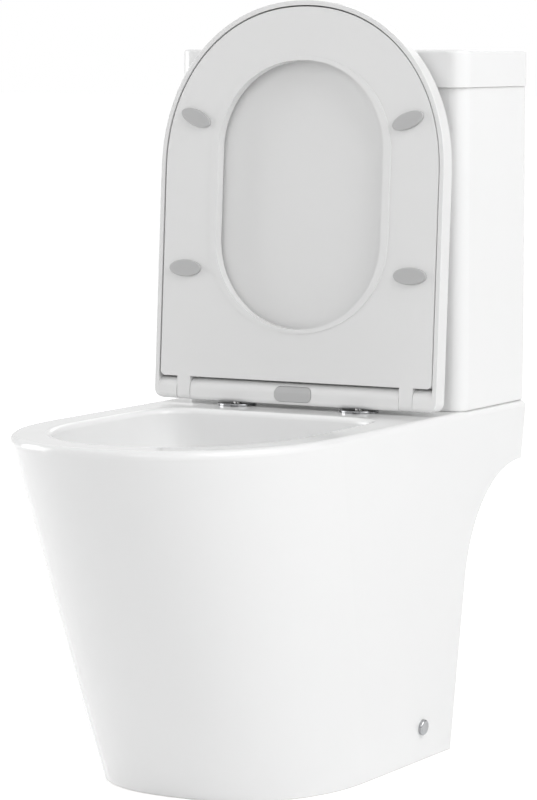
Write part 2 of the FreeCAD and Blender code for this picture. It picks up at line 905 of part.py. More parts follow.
def make_button_housing():
    """The barrel that carries both flush buttons, with its flange on top of the lid."""
    flange = rod(bezel_radius, 0, axis_y, lid_top, bezel_top)
    flange = flange.makeFillet(bezel_edge_radius, edges_at_height(flange, bezel_top))
    barrel = rod(housing_bore_radius + housing_wall, 0, axis_y, housing_base, lid_top)
    spaces = [rod(housing_bore_radius, 0, axis_y, housing_floor_top, bezel_top + overrun)]
    for place in (full_rod_place, half_rod_place):
        spaces.append(rod(rod_radius + running_gap, place, axis_y, housing_base - overrun,
                          housing_floor_top + overrun))
    return fuse(flange, barrel).cut(spaces)


def make_housing_nut():
    nut = tube(ring_nut_radius, housing_bore_radius + housing_wall + running_gap, 0, axis_y,
               lid_underside - ring_nut_height, lid_underside)
    grips = []
    for k in range(ring_nut_grips):
        turn = 2 * math.pi * k / ring_nut_grips
        grips.append(rod(ring_nut_grip_radius, ring_nut_radius * math.cos(turn),
                         axis_y + ring_nut_radius * math.sin(turn),
                         lid_underside - ring_nut_height - overrun, lid_underside + overrun))
    return nut.cut(grips)


def button(x0, x1, place):
    """The part of the round button between two cuts across it, hollow below, with its stem."""
    radius = housing_bore_radius - slip_gap
    low = button_top - button_height
    disc = rod(radius, 0, axis_y, low, button_top)
    disc = disc.makeFillet(button_crown, edges_at_height(disc, button_top))
    part = disc.common(box(x0, x1, axis_y - radius, axis_y + radius, low, button_top))
    space = rod(radius - button_skirt_wall, 0, axis_y, low - overrun, button_underside)
    space = space.common(box(x0 + button_skirt_wall, x1 - button_skirt_wall, axis_y - radius,
                             axis_y + radius, low - overrun, button_underside))
    stem = rod(button_stem_radius, place, axis_y, stem_base, button_underside)
    socket = rod(rod_radius, place, axis_y, stem_base - overrun, rod_top)
    return fuse(part.cut(space), stem).cut(socket)


def make_full_button():
    return button(button_split_gap / 2 - button_split_offset, housing_bore_radius, full_rod_place)


def make_half_button():
    return button(-housing_bore_radius, -button_split_gap / 2 - button_split_offset, half_rod_place)


def make_full_rod():
    """Push rod with a round tip that presses the lever."""
    tip = lever_top + lever_contact_gap + rod_radius
    ball = Part.makeSphere(rod_radius, vec(full_rod_place, axis_y, tip))
    return fuse(rod(rod_radius, full_rod_place, axis_y, tip, rod_top), ball)


def make_half_rod():
    return rod(rod_radius, half_rod_place, axis_y, crossbar_base, rod_top)


def button_spring(place):
    spring = coil(spring_coil_radius, spring_wire_radius, spring_turns, button_underside - housing_floor_top)
    spring.translate(vec(place, axis_y, housing_floor_top))
    return spring


def make_full_spring():
    return button_spring(full_rod_place)


def make_half_spring():
    return button_spring(half_rod_place)


def make_valve_base():
    """Flush valve base: threaded tail, clamping flange, drum with its raised seat, and overflow socket."""
    boss_radius = overflow_radius + overflow_boss_wall
    solid = fuse(
        rod(tail_radius, 0, axis_y, rim_height - tail_length, flange_base),
        rod(valve_flange_radius, 0, axis_y, flange_base, flange_top),
        rod(valve_drum_radius, 0, axis_y, flange_top, drum_top),
        rod(tail_bore_radius + valve_seat_width, 0, axis_y, drum_top, valve_seat_top),
        rod(boss_radius, overflow_place, axis_y, flange_base, drum_top),
        box(overflow_place, 0, axis_y - overflow_radius, axis_y + overflow_radius, flange_base, pipe_base),
    )
    passage_z = flange_top + overflow_passage_rise
    return solid.cut([
        rod(tail_bore_radius, 0, axis_y, rim_height - tail_length - overrun, valve_seat_top + overrun),
        rod(overflow_radius, overflow_place, axis_y, pipe_base, drum_top + overrun),
        rod(overflow_radius - overflow_wall, overflow_place, axis_y, passage_z - overflow_passage_radius,
            pipe_base + overrun),
        rod_along_x(overflow_passage_radius, overflow_place, overrun - tail_bore_radius, axis_y, passage_z),
    ])


def make_valve_tower():
    """Cage that guides the flush stem, with two rows of windows for the water."""
    tower = tube(valve_drum_radius, valve_drum_radius - tower_wall, 0, axis_y, drum_top, tower_top)
    half = tower_window_width / 2
    far = valve_drum_radius + overrun
    windows = []
    for rise, height in ((tower_window_rise, tower_window_height), (tower_slot_rise, tower_slot_height)):
        low = drum_top + rise
        windows.append(box(-far, far, axis_y - half, axis_y + half, low, low + height))
        windows.append(box(-half, half, axis_y - far, axis_y + far, low, low + height))
    return tower.cut(windows)


def pivot_ears(x, half_gap, thickness, z0, z, radius):
    """Two round-topped ears either side of a lever's pivot."""
    ears = []
    for side in (-1, 1):
        y = axis_y + side * (half_gap + thickness / 2)
        ears.append(box(x - radius, x + radius, y - thickness / 2, y + thickness / 2, z0, z))
        ears.append(rod_along_y(radius, x, y - thickness / 2, y + thickness / 2, z))
    return ears


def make_tower_cap():
    """Lid of the cage, with the ears that carry the lever."""
    outer = lever_half_gap + lever_ear_thickness
    disc = rod(valve_drum_radius, 0, axis_y, tower_top, cap_top)
    tongue_end = lever_pivot_place + lever_ear_width / 2 + slip_gap
    ledge = box(0, tongue_end, axis_y - outer, axis_y + outer, tower_top, cap_top)
    ears = pivot_ears(lever_pivot_place, lever_half_gap, lever_ear_thickness, cap_top, lever_z,
                      lever_ear_width / 2)
    return fuse(disc, ledge, *ears).cut([
        rod(stem_radius + running_gap, 0, axis_y, tower_top - overrun, cap_top + overrun),
        rod(plunger_radius + running_gap, half_rod_place, axis_y, tower_top - overrun, cap_top + overrun),
        rod_along_y(lever_pin_radius, lever_pivot_place, axis_y - outer - overrun, axis_y + outer + overrun,
                    lever_z),
    ])


def make_lever_pin():
    outer = lever_half_gap + lever_ear_thickness
    return rod_along_y(lever_pin_radius, lever_pivot_place, axis_y - outer, axis_y + outer, lever_z)


def make_flush_lever():
    """Rocker between the full-flush rod and the stem's crossbar."""
    y0 = axis_y - lever_width / 2
    y1 = axis_y + lever_width / 2
    x0 = lever_pivot_place - lever_input_arm - lever_tip_margin
    x1 = lever_pivot_place + lever_output_arm
    beam = box(x0, x1 + lever_pad_radius, y0, y1, lever_z - lever_thickness / 2, lever_top)
    hub = rod_along_y(lever_hub_radius, lever_pivot_place, y0, y1, lever_z)
    pad = rod_along_y(lever_pad_radius, x1, y0, y1, lever_z + lever_pad_rise)
    bore = rod_along_y(lever_pin_radius + running_gap, lever_pivot_place, y0 - overrun, y1 + overrun, lever_z)
    return fuse(beam, hub, pad).cut(bore)


def make_valve_stem():
    """The flush stem with its collars and the crossbar that the lever lifts."""
    top = crossbar_base + crossbar_thickness
    bar_end = lever_pivot_place + lever_output_arm + crossbar_end_margin
    solid = fuse(
        rod(stem_radius, 0, axis_y, disc_base - stem_tip_drop, top),
        rod(stem_collar_radius, 0, axis_y, disc_base - stem_flange_thickness, disc_base),
        rod(stem_flange_radius, 0, axis_y, disc_top, disc_top + stem_flange_thickness),
        rod(stem_collar_radius, 0, axis_y, stem_float_base - stem_flange_thickness, stem_float_base),
        rod(crossbar_hub_radius, 0, axis_y, crossbar_base, top),
        box(0, bar_end, axis_y - crossbar_width / 2, axis_y + crossbar_width / 2, crossbar_base, top),
    )
    slot_start = full_rod_place - rod_radius - moving_gap
    slot = box(slot_start, slot_start + crossbar_slot_width, axis_y - crossbar_slot_width / 2,
               axis_y + crossbar_slot_width / 2, crossbar_base - overrun, top + overrun)
    return solid.cut(slot)


def make_stem_float():
    solid = rod(stem_float_radius, 0, axis_y, stem_float_base, stem_float_base + stem_float_height)
    solid = solid.makeFillet(overrun, edges_at_height(solid, stem_float_base + stem_float_height))
    return solid.cut(rod(stem_radius + running_gap, 0, axis_y, stem_float_base - overrun,
                         stem_float_base + stem_float_height + overrun))


def make_plunger():
    """Half-flush plunger, whose head waits under the half-flush rod."""
    head_top = crossbar_base - lever_contact_gap
    head_base = head_top - plunger_head_height
    return fuse(rod(plunger_radius, half_rod_place, axis_y, tower_top - plunger_drop, head_base),
                rod(plunger_head_radius, half_rod_place, axis_y, head_base, head_top))


def make_doughnut_seal():
    seal = rod(doughnut_radius, 0, axis_y, recess_floor, rim_height)
    return seal.cut([
        rod(tail_radius + slip_gap, 0, axis_y, recess_floor - overrun, rim_height + overrun),
        rod(doughnut_bore_radius, 0, axis_y, recess_floor + doughnut_shelf, rim_height + overrun),
    ])


def cistern_bolt(side):
    """Slotted bolt that holds the cistern down on the pan."""
    x = side * cistern_bolt_place
    under = tank_floor + cistern_cone_height
    top = under + cistern_bolt_head_height
    solid = fuse(rod(cistern_bolt_head_radius, x, axis_y, under, top),
                 rod(cistern_bolt_radius, x, axis_y, under - cistern_bolt_length, under))
    return solid.cut(box(x - cistern_bolt_head_radius, x + cistern_bolt_head_radius,
                         axis_y - bolt_slot_width / 2, axis_y + bolt_slot_width / 2, top - bolt_slot_depth,
                         top + overrun))


def cistern_wing_nut(side):
    return wing_nut(side * cistern_bolt_place, axis_y, deck_underside - plate_washer_thickness,
                    cistern_bolt_radius + running_gap)


def make_cistern_bolts():
    return pair(cistern_bolt)


def make_bolt_washers():
    return flat_ring(cistern_cone_radius, cistern_bolt_radius + running_gap,
                     (-cistern_bolt_place, cistern_bolt_place), tank_floor, tank_floor + cistern_cone_height)


def make_plate_washers():
    return flat_ring(plate_washer_radius, cistern_bolt_radius + running_gap,
                     (-cistern_bolt_place, cistern_bolt_place), deck_underside - plate_washer_thickness,
                     deck_underside)


def make_bolt_wing_nuts():
    return pair(cistern_wing_nut)


def make_valve_gasket():
    return flat_ring(valve_flange_radius, tail_radius + running_gap, (0,), tank_floor, flange_base)


def make_valve_backnut():
    return hex_nut(backnut_radius, tail_radius + running_gap, 0, rim_height - backnut_height, rim_height)


def make_overflow_pipe():
    return tube(overflow_radius, overflow_radius - overflow_wall, overflow_place, axis_y, pipe_base,
                overflow_top)


def make_seal_disc():
    return flat_ring(seal_disc_radius, stem_radius + running_gap, (0,), disc_base, disc_top)


def make_fill_valve():
    """Fill valve body: threaded inlet tail, flange, riser and valve head."""
    base = rim_height - fill_tail_length
    solid = fuse(
        rod(fill_tail_radius, fill_place, axis_y, base, fill_flange_base),
        rod(fill_shank_radius, fill_place, axis_y, base + fill_inlet_length, fill_flange_base),
        rod(fill_washer_radius, fill_place, axis_y, fill_flange_base,
            fill_flange_base + fill_flange_thickness),
        rod(fill_column_radius, fill_place, axis_y, fill_flange_base, fill_head_height),
        rod(fill_head_radius, fill_place, axis_y, fill_head_height, fill_cap_base),
    )
    return solid.cut(rod(fill_tail_bore_radius, fill_place, axis_y, base - overrun, fill_head_height))


def make_fill_washer():
    return flat_ring(fill_washer_radius, fill_shank_radius + running_gap, (fill_place,), tank_floor,
                     fill_flange_base)


def make_fill_backnut():
    return hex_nut(fill_nut_radius, fill_shank_radius + running_gap, fill_place, rim_height - fill_nut_height,
                   rim_height)


def make_fill_cap():
    """Ribbed cap of the fill valve, with the ears that carry the float arm."""
    outer = arm_half_gap + arm_ear_thickness
    top = fill_cap_base + fill_cap_height
    pieces = [box(fill_place, arm_x + arm_ear_radius, axis_y - outer, axis_y + outer,
                  top - arm_thickness, top)]
    for k in range(fill_cap_ribs):
        turn = 2 * math.pi * k / fill_cap_ribs
        pieces.append(rod(fill_cap_rib_radius, fill_place + fill_cap_radius * math.cos(turn),
                          axis_y + fill_cap_radius * math.sin(turn), fill_cap_base, top))
    pieces.extend(pivot_ears(arm_x, arm_half_gap, arm_ear_thickness, top, arm_z, arm_ear_radius))
    cap = fuse(rod(fill_cap_radius, fill_place, axis_y, fill_cap_base, top), *pieces)
    return cap.cut(rod_along_y(arm_pin_radius, arm_x, axis_y - outer - overrun, axis_y + outer + overrun,
                               arm_z))


def make_arm_pin():
    outer = arm_half_gap + arm_ear_thickness
    return rod_along_y(arm_pin_radius, arm_x, axis_y - outer, axis_y + outer, arm_z)


def make_float_arm():
    """Arm from the fill valve to the float's rod, at the angle it has when the float is down."""
    y0 = axis_y - arm_width / 2
    y1 = axis_y + arm_width / 2
    length = arm_x - float_rod_x
    half = arm_thickness / 2
    beam = box(arm_x - length - arm_overhang, arm_x, y0, y1, arm_z - half, arm_z + half)
    hub = rod_along_y(half + arm_hub_wall, arm_x, y0, y1, arm_z)
    slot_half = (arm_slot_length - 2 * arm_slot_radius) / 2 + arm_slot_radius
    slot = box(float_rod_x - slot_half, float_rod_x + slot_half, axis_y - arm_slot_radius,
               axis_y + arm_slot_radius, arm_z - half - overrun, arm_z + half + overrun)
    bore = rod_along_y(arm_pin_radius + running_gap, arm_x, y0 - overrun, y1 + overrun, arm_z)
    arm = fuse(beam, hub).cut([slot, bore])
    arm.rotate(vec(arm_x, 0, arm_z), vec(0, 1, 0), -math.degrees(math.atan(float_travel / 2 / length)))
    return arm


def make_fill_float():
    """Ring float, open below, with the rod and the two collars that carry the arm."""
    top = float_bottom + float_height
    drop = float_travel / 2
    shell = tube(float_radius, float_bore_radius, fill_place, axis_y, float_bottom, top)
    space = tube(float_radius - float_wall, float_bore_radius + float_wall, fill_place, axis_y,
                 float_bottom - overrun, top - float_wall)
    space = space.common(box(fill_place - float_radius, fill_place + float_radius, axis_y - float_radius,
                             axis_y + float_radius, float_bottom - overrun, top - float_wall))
    low_collar = arm_z - drop - float_collar_gap
    high_collar = arm_z - drop + float_collar_gap
    return fuse(
        shell.cut(space),
        rod(float_rod_radius, float_rod_x, axis_y, top - float_wall, high_collar + 2 * float_collar_height),
        rod(float_collar_radius, float_rod_x, axis_y, low_collar - float_collar_height, low_collar),
        rod(float_collar_radius, float_rod_x, axis_y, high_collar, high_collar + float_collar_height),
    )


def rosette(side):
    """Round cover under each hinge post."""
    top = rim_height + rosette_height
    disc = rod(rosette_radius, side * post_place, hinge_y, rim_height, top)
    disc = disc.makeFillet(rosette_edge_radius, edges_at_height(disc, top))
    return disc.cut(rod(seat_bolt_radius + running_gap, side * post_place, hinge_y, rim_height - overrun,
                        top + overrun))


def hinge_post(side):
    """Post with the head that the hinge bar drops onto, and the stud through the pan."""
    x = side * post_place
    foot = rim_height + rosette_height
    top = foot + post_rise
    return fuse(rod(post_radius, x, hinge_y, foot, top - post_head_height),
                rod(post_head_radius, x, hinge_y, top - post_head_height, top),
                rod(seat_bolt_radius, x, hinge_y, foot - stud_length, foot))


def seat_cone(side):
    x = side * post_place
    low = deck_underside - seat_cone_height
    solid = cone(seat_cone_small_radius, seat_cone_radius, x, hinge_y, low, deck_underside)
    return solid.cut(rod(seat_bolt_radius + running_gap, x, hinge_y, low - overrun, deck_underside + overrun))


def seat_wing_nut(side):
    return wing_nut(side * post_place, hinge_y, deck_underside - seat_cone_height,
                    seat_bolt_radius + running_gap)


def make_rosettes():
    return pair(rosette)


def make_hinge_posts():
    return pair(hinge_post)


def make_seat_cones():
    return pair(seat_cone)


def make_seat_wing_nuts():
    return pair(seat_wing_nut)


def bar_section(grow, half_length):
    """The hinge bar's section, rounded most where the seat and the cover turn in front of it."""
    reach = bar_reach + grow
    corners = [(-reach, -reach), (reach, -reach), (reach, reach), (-reach, reach)]
    radii = [bar_edge_radius + grow] * 3 + [bar_front_radius + grow]
    return side_section(corners, radii, -half_length, half_length)


def release_block(half_length, half_height, radius, y0, y1):
    """Rounded block across the hinge bar's front, for the release button and its pocket."""
    corners = [
        vec(-half_length, y0, hinge_z - half_height),
        vec(half_length, y0, hinge_z - half_height),
        vec(half_length, y0, hinge_z + half_height),
        vec(-half_length, y0, hinge_z + half_height),
    ]
    return Part.Face(rounded_outline(corners, [radius] * 4)).extrude(vec(0, y1 - y0, 0))


def make_hinge_bar():
    """The bar that drops onto the posts and carries the seat, the cover and the release button."""
    bar = bar_section(0, bar_half_length)
    socket_top = rim_height + rosette_height + post_rise + moving_gap
    spaces = [
        release_block(release_half_length + slip_gap, release_height / 2 + slip_gap,
                      release_corner_radius + slip_gap, bar_front - overrun, pocket_floor),
        rod_along_y(release_stem_radius + running_gap, 0, pocket_floor - overrun,
                    pocket_floor + release_hole_depth, hinge_z),
    ]
    for side in (-1, 1):
        spaces.append(rod(post_socket_radius, side * post_place, hinge_y, hinge_z - bar_reach - overrun,
                          socket_top))
        ends = sorted((side * damper_start, side * (bar_half_length + overrun)))
        spaces.append(rod_along_x(damper_radius, ends[0], ends[1], hinge_y, hinge_z))
    return bar.cut(spaces)


def hinge_pin(side):
    ends = sorted((side * pin_start, side * pin_end))
    return rod_along_x(pin_radius, ends[0], ends[1], hinge_y, hinge_z)


def damper(side):
    """Soft-close damper in the bar's end, holding the inner end of its pin."""
    ends = sorted((side * damper_start, side * bar_half_length))
    barrel = rod_along_x(damper_radius, ends[0], ends[1], hinge_y, hinge_z)
    return barrel.cut(hinge_pin(side))


def make_dampers():
    return pair(damper)


def make_hinge_pins():
    return pair(hinge_pin)


def make_release_button():
    """Push button flush with the bar's front, with the stem that guides it."""
    back = bar_front - release_proud + release_thickness
    face = release_block(release_half_length, release_height / 2, release_corner_radius,
                         bar_front - overrun, back)
    face = face.common(bar_section(release_proud, bar_half_length))
    return fuse(face, rod_along_y(release_stem_radius, 0, back, back + release_stem_length, hinge_z))


def make_release_spring():
    back = bar_front - release_proud + release_thickness
    spring = coil(release_coil_radius, release_wire_radius, release_turns, pocket_floor - back)
    spring.rotate(vec(0, 0, 0), vec(1, 0, 0), -90)
    spring.translate(vec(0, back, hinge_z))
    return spring


def seat_opening(grow_side, grow_end, z0, z1):
    """The opening through the seat, straight at its sides, or something this much larger."""
    half = seat_opening_half_width + grow_side
    reach = seat_opening_curve + grow_end
    front_y = ahead(seat_opening_middle + seat_opening_straight)
    back_y = ahead(seat_opening_middle - seat_opening_straight)
    front = []
    back = []
    for across, along in superellipse(half, reach, seat_opening_roundness, tip_steps):
        front.append(vec(across, front_y - along, z0))
        back.append(vec(across, back_y + along, z0))
    front_curve = Part.BSplineCurve()
    front_curve.interpolate(Points=front, InitialTangent=vec(0, -1, 0), FinalTangent=vec(0, 1, 0),
                            Scale=False)
    back_curve = Part.BSplineCurve()
    back_curve.interpolate(Points=back, InitialTangent=vec(0, 1, 0), FinalTangent=vec(0, -1, 0),
                           Scale=False)
    outline = Part.Wire([front_curve.toShape(), line(front[-1], back[-1]), back_curve.toShape(),
                         line(back[0], front[0])])
    return Part.Face(outline).extrude(vec(0, 0, z1 - z0))


def seat_lug(side):
    """The seat's arm round the hinge pin, flush with the seat's underside."""
    ends = sorted((side * seat_lug_inner, side * seat_lug_outer))
    low = seat_base - hinge_z
    high = seat_top - hinge_z
    head = side_section([(-lug_front, low), (lug_back, low), (lug_back, lug_rise), (-lug_front, lug_rise)],
                        [0, lug_low_radius, lug_high_radius, lug_high_radius], ends[0], ends[1])
    link = side_section([(-seat_link_reach, low), (0, low), (0, high), (-seat_link_reach, high)],
                        [0, 0, 0, 0], ends[0], ends[1])
    return head.fuse(link)


def make_seat_ring():
    """The seat: a flat ring with a raised lip round its opening and two hinge lugs."""
    outline = tongue(cover_width / 2 - seat_inset, ahead(seat_back_edge), cover_turn_y,
                     cover_curve_length - seat_inset, cover_roundness, seat_base, seat_corner_radius)
    ring = Part.Face(outline).extrude(vec(0, 0, seat_thickness))
    ring = ring.makeFillet(seat_edge_radius, edges_at_height(ring, seat_top))
    ring = ring.makeFillet(seat_under_radius, edges_at_height(ring, seat_base))
    ring = ring.cut(seat_opening(0, 0, seat_base - overrun, seat_top + overrun))
    rim = []
    for edge in edges_at_height(ring, seat_top):
        if max(abs(edge.BoundBox.XMin), abs(edge.BoundBox.XMax)) < seat_opening_half_width + slip_gap:
            rim.append(edge)
    ring = ring.makeFillet(seat_opening_radius, rim)
    lip = seat_opening(seat_lip_width, seat_lip_end_width, seat_base - seat_lip_depth, seat_base)
    lip = lip.cut(seat_opening(0, 0, seat_base - seat_lip_depth - overrun, seat_base + overrun))
    ring = fuse(ring, lip, seat_lug(-1), seat_lug(1))
    return raise_up(ring.cut(pin_bores(seat_lug_inner - overrun, seat_lug_outer + overrun)))


def pin_bores(x0, x1):
    """Running holes for both hinge pins."""
    bores = []
    for side in (-1, 1):
        ends = sorted((side * x0, side * x1))
        bores.append(rod_along_x(pin_radius + running_gap, ends[0], ends[1], hinge_y, hinge_z))
    return bores


def oval_pad(side, place, reach, length, width, turn):
    """Soft oval pad under the seat, its outer end turned forwards."""
    centre = vec(side * place, ahead(reach), seat_base - pad_height)
    oval = Part.Ellipse(centre, length / 2, width / 2)
    pad = Part.Face(Part.Wire([oval.toShape()])).extrude(vec(0, 0, pad_height))
    pad = pad.makeFillet(pad_edge_radius, edges_at_height(pad, seat_base - pad_height))
    pad.rotate(centre, vec(0, 0, 1), -side * turn)
    return pad


def make_seat_pads():
    pads = []
    for side in (-1, 1):
        pads.append(oval_pad(side, front_pad_place, front_pad_reach, front_pad_length, front_pad_width,
                             front_pad_turn))
        pads.append(oval_pad(side, back_pad_place, back_pad_reach, back_pad_length, back_pad_width, 0))
    return raise_up(Part.makeCompound(pads))


def make_seat_cover():
    """The cover: a shallow shell that closes over the seat, with a solid lug at each hinge pin."""
    half = cover_width / 2
    inner = half - cover_wall
    outline = tongue(half, hinge_y + lug_back, cover_turn_y, cover_curve_length, cover_roundness, cover_base,
                     lug_corner_radius)
    solid = Part.Face(outline).extrude(vec(0, 0, cover_height))
    solid = solid.makeFillet(cover_edge_radius, edges_at_height(solid, cover_top))
    solid = solid.makeFillet(cover_rim_radius, edges_at_height(solid, cover_base))
    cavity = Part.Face(tongue(inner, ahead(lug_front), cover_turn_y, cover_curve_length - cover_wall,
                              cover_roundness, cover_base - overrun))
    cavity = cavity.extrude(vec(0, 0, overrun + cover_height - cover_top_thickness))
    back_space = box(-cover_width, cover_width, ahead(lug_front), hinge_y + 2 * lug_back,
                     cover_base - overrun, cover_top + overrun)
    low = cover_base - hinge_z
    high = cover_top - hinge_z
    corners = [(-lug_front, low), (lug_back, low), (lug_back, high), (-lug_front, high)]
    lugs = side_section(corners, [lug_front - smallest_edge, lug_low_radius, lug_high_radius, 0],
                        -inner, inner)
    skirt = side_section(corners, [0, lug_low_radius, lug_high_radius, 0], -half, half)
    skirt = skirt.cut(box(-inner, inner, ahead(2 * lug_front), hinge_y + 2 * lug_back,
                          cover_base - overrun, cover_top + overrun))
    bay_half = seat_lug_outer + lug_gap
    bay = box(-bay_half, bay_half, ahead(cover_back_edge), hinge_y + 2 * lug_back, cover_base - overrun,
              cover_top + overrun)
    cover = solid.cut([back_space, cavity]).fuse(solid.common(lugs.fuse(skirt))).removeSplitter()
    cover = cover.cut([bay] + pin_bores(bay_half - overrun, pin_end + slip_gap))
    return raise_up(cover)


def make_cover_pads():
    """Small round pads inside the cover that meet the seat's top."""
    pads = []
    top = cover_top - cover_top_thickness
    for side in (-1, 1):
        for place, reach in ((cover_pad_place_front, cover_pad_reach_front),
                             (cover_pad_place_back, cover_pad_reach_back)):
            pads.append(rod(cover_pad_radius, side * place, ahead(reach), seat_top + cover_pad_gap, top))
    return raise_up(Part.makeCompound(pads))


def bracket(side):
    """Angle bracket that stands on the floor against the inside of the pan's skirt."""
    y0 = from_wall(fixing_from_wall + bracket_length / 2)
    y1 = from_wall(fixing_from_wall - bracket_length / 2)
    plate = sorted((side * (bracket_face - bracket_thickness), side * bracket_face))
    foot = sorted((side * (bracket_face - bracket_foot_width), side * bracket_face))
    solid = fuse(box(plate[0], plate[1], y0, y1, 0, bracket_height),
                 box(foot[0], foot[1], y0, y1, 0, bracket_thickness))
    hole_x = side * (bracket_face - bracket_foot_width / 2)
    slack = side_screw_radius + slip_gap
    return solid.cut([
        rod(floor_hole_radius, hole_x, from_wall(fixing_from_wall), -overrun, bracket_thickness + overrun),
        on_side(rod_along_x(slack, -side_screw_length - overrun, 0, 0, 0), side),
    ])


def on_side(shape, side):
    """Move a piece that points along X from the origin onto the pan's leaning side, at its fixing hole."""
    placed = shape.copy()
    placed.rotate(vec(0, 0, 0), vec(0, 1, 0), math.degrees(math.atan(side_slope)))
    placed.translate(vec(foot_width / 2 + side_slope * fixing_height, from_wall(fixing_from_wall),
                         fixing_height))
    return placed if side > 0 else placed.mirror(vec(0, 0, 0), vec(1, 0, 0))


def side_screw(side):
    head = rod_along_x(side_screw_head_radius, cap_base_floor, cap_base_floor + side_screw_head_height, 0, 0)
    shank = rod_along_x(side_screw_radius, cap_base_floor - side_screw_length, cap_base_floor, 0, 0)
    return on_side(fuse(head, shank), side)


def cap_base(side):
    """Plastic cup under the screw's head, which the cap clips over."""
    outer = cap_radius - cap_wall - running_gap
    cup = rod_along_x(outer, 0, cap_base_height, 0, 0)
    space = rod_along_x(outer - cap_base_wall, cap_base_floor, cap_base_height + overrun, 0, 0)
    hole = rod_along_x(side_screw_radius + running_gap, -overrun, cap_base_height, 0, 0)
    return on_side(cup.cut([space, hole]), side)


def side_cap(side):
    """Domed cap over the screw."""
    outer = rod_along_x(cap_radius, 0, cap_height, 0, 0)
    rim = [edge for edge in outer.Edges if edge.BoundBox.XMin > cap_height - slip_gap]
    outer = outer.makeFillet(cap_dome_radius, rim)
    space = rod_along_x(cap_radius - cap_wall, -overrun, cap_height - cap_wall, 0, 0)
    return on_side(outer.cut(space), side)


def make_floor_brackets():
    return pair(bracket)


def make_side_screws():
    return pair(side_screw)


def make_cap_bases():
    return pair(cap_base)


def make_side_caps():
    return pair(side_cap)


nodes = {
    "pan": make_pan,
    "floor_brackets": make_floor_brackets,
    "side_screws": make_side_screws,
    "cap_bases": make_cap_bases,
    "side_caps": make_side_caps,
    "cistern_body": make_cistern_body,
    "doughnut_seal": make_doughnut_seal,
    "cistern_bolts": make_cistern_bolts,
    "bolt_washers": make_bolt_washers,
    "plate_washers": make_plate_washers,
    "bolt_wing_nuts": make_bolt_wing_nuts,
    "flush_valve_base": make_valve_base,
    "valve_gasket": make_valve_gasket,
    "valve_backnut": make_valve_backnut,
    "valve_tower": make_valve_tower,
    "tower_cap": make_tower_cap,
    "lever_pin": make_lever_pin,
    "overflow_pipe": make_overflow_pipe,
    "flush_lever": make_flush_lever,
    "valve_stem": make_valve_stem,
    "seal_disc": make_seal_disc,
    "stem_float": make_stem_float,
    "half_flush_plunger": make_plunger,
    "fill_valve_body": make_fill_valve,
    "fill_washer": make_fill_washer,
    "fill_backnut": make_fill_backnut,
    "fill_cap": make_fill_cap,
    "arm_pin": make_arm_pin,
    "float_arm": make_float_arm,
    "fill_float": make_fill_float,
    "cistern_lid": make_cistern_lid,
    "button_housing": make_button_housing,
    "housing_nut": make_housing_nut,
    "full_flush_button": make_full_button,
    "full_flush_rod": make_full_rod,
    "full_flush_spring": make_full_spring,
    "half_flush_button": make_half_button,
    "half_flush_rod": make_half_rod,
    "half_flush_spring": make_half_spring,
    "rosettes": make_rosettes,
    "hinge_posts": make_hinge_posts,
    "seat_cones": make_seat_cones,
    "seat_wing_nuts": make_seat_wing_nuts,
    "hinge_bar": make_hinge_bar,
    "soft_close_dampers": make_dampers,
    "hinge_pins": make_hinge_pins,
    "release_button": make_release_button,
    "release_spring": make_release_spring,
    "seat_ring": make_seat_ring,
    "seat_pads": make_seat_pads,
    "seat_cover": make_seat_cover,
    "cover_pads": make_cover_pads,
}

os.makedirs("parts", exist_ok=True)
for name, make in nodes.items():
    shape = make()
    shape.exportStep("parts/" + name + ".step")
    print(name, len(shape.Solids), round(shape.Volume / 1000, 2), shape.isValid())
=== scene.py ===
import math

import bmesh
import bpy
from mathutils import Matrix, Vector


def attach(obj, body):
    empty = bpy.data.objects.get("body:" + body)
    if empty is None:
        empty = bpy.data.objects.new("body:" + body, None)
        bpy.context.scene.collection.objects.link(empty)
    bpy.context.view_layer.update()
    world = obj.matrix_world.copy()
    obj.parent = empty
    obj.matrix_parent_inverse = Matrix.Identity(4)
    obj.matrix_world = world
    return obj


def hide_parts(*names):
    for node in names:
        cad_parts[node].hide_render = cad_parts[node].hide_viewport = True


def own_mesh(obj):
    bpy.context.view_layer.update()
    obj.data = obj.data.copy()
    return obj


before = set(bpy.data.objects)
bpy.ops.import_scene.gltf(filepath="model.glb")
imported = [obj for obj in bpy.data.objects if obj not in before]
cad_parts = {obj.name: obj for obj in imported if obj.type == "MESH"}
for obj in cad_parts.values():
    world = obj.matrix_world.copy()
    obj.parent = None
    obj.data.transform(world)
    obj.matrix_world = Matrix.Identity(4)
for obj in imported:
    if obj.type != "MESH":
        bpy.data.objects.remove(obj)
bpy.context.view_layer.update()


# The pan is one slip-cast piece of vitreous china with a clear glaze over a
# white body. Fired glaze lies in very slow, shallow ripples, and the ring that
# stands on the floor is wiped bare before the kiln.
def place(tree, kind, wires=None, **settings):
    """Puts one shader node in a tree, with its settings and what feeds it."""
    node = tree.nodes.new(kind)
    for setting, value in settings.items():
        setattr(node, setting, value)
    for socket, value in (wires or {}).items():
        if isinstance(value, bpy.types.NodeSocket):
            tree.links.new(value, node.inputs[socket])
        else:
            node.inputs[socket].default_value = value
    return node


def shared_effect(name, inputs, outputs):
    """An empty node group with named inputs and outputs, and its two ends."""
    tree = bpy.data.node_groups.new(name, "ShaderNodeTree")
    for label, kind, value in inputs:
        socket = tree.interface.new_socket(label, in_out="INPUT", socket_type=kind)
        if value is not None:
            socket.default_value = value
    for label, kind in outputs:
        tree.interface.new_socket(label, in_out="OUTPUT", socket_type=kind)
    ends = tree.nodes.new("NodeGroupInput"), tree.nodes.new("NodeGroupOutput")
    return tree, ends[0].outputs, ends[1].inputs


